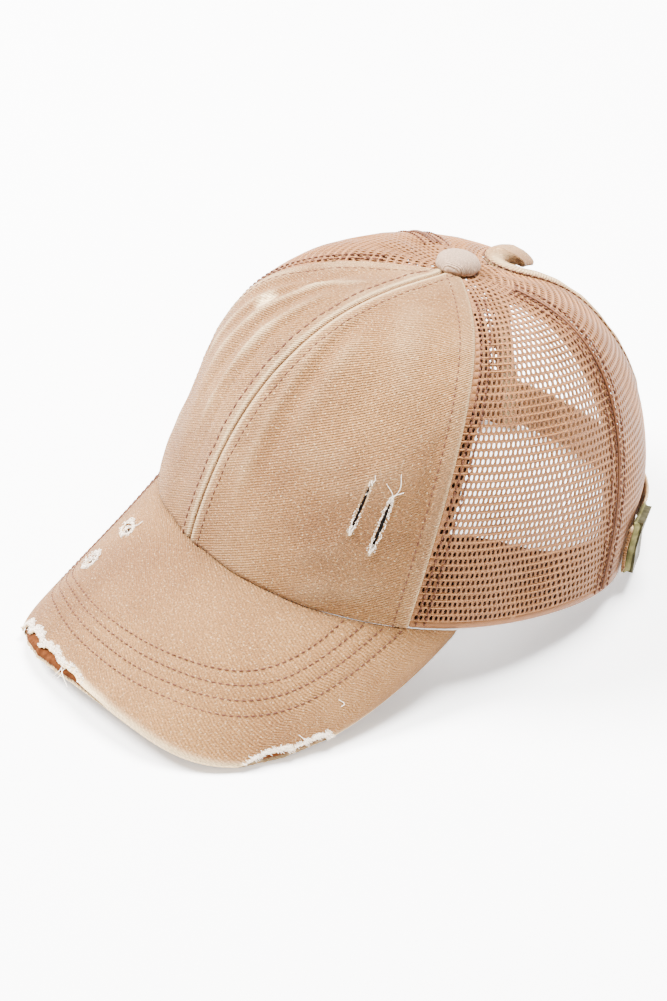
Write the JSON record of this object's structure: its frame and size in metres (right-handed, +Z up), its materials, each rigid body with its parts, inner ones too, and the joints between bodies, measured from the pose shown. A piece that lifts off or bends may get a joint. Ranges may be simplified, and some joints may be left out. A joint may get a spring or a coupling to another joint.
{
  "type": "ponytail baseball cap",
  "caption": "Washed cloth and mesh baseball cap with an arched worn peak, a bound opening at the back for a ponytail, and a buckled strap.",
  "frame": {"origin": "middle of the cap's footprint, on the surface that it rests on", "axes": "+Z up, -Y the way the peak points, +X the wearer's left"},
  "size_m": [0.1818, 0.2644, 0.1238],
  "materials": {
    "washed_cloth": "faded tan cotton twill, worn pale at the edges",
    "mesh": "tan knitted polyester net",
    "sweatband_cloth": "plain pale cotton",
    "tape": "plain cotton tape",
    "board": "rust brown stiffener board",
    "dark_metal": "blackened",
    "antique_brass": "antiqued, satin"
  },
  "bodies": {
    "root": {"front_panel_left": "washed_cloth", "front_panel_right": "washed_cloth", "side_mesh_left": "mesh", "side_mesh_right": "mesh", "back_mesh_left": "mesh", "back_mesh_right": "mesh", "opening_binding": "washed_cloth", "sweatband": "sweatband_cloth", "seam_tape_front": "tape", "seam_tape_front_side_left": "tape", "seam_tape_side_back_left": "tape", "seam_tape_front_side_right": "tape", "seam_tape_side_back_right": "tape", "peak_top": "washed_cloth", "peak_board": "board", "peak_under": "washed_cloth", "button": "washed_cloth", "strap": "washed_cloth", "buckle_frame": "dark_metal", "buckle_cover": "antique_brass"}
  },
  "joints": []
}
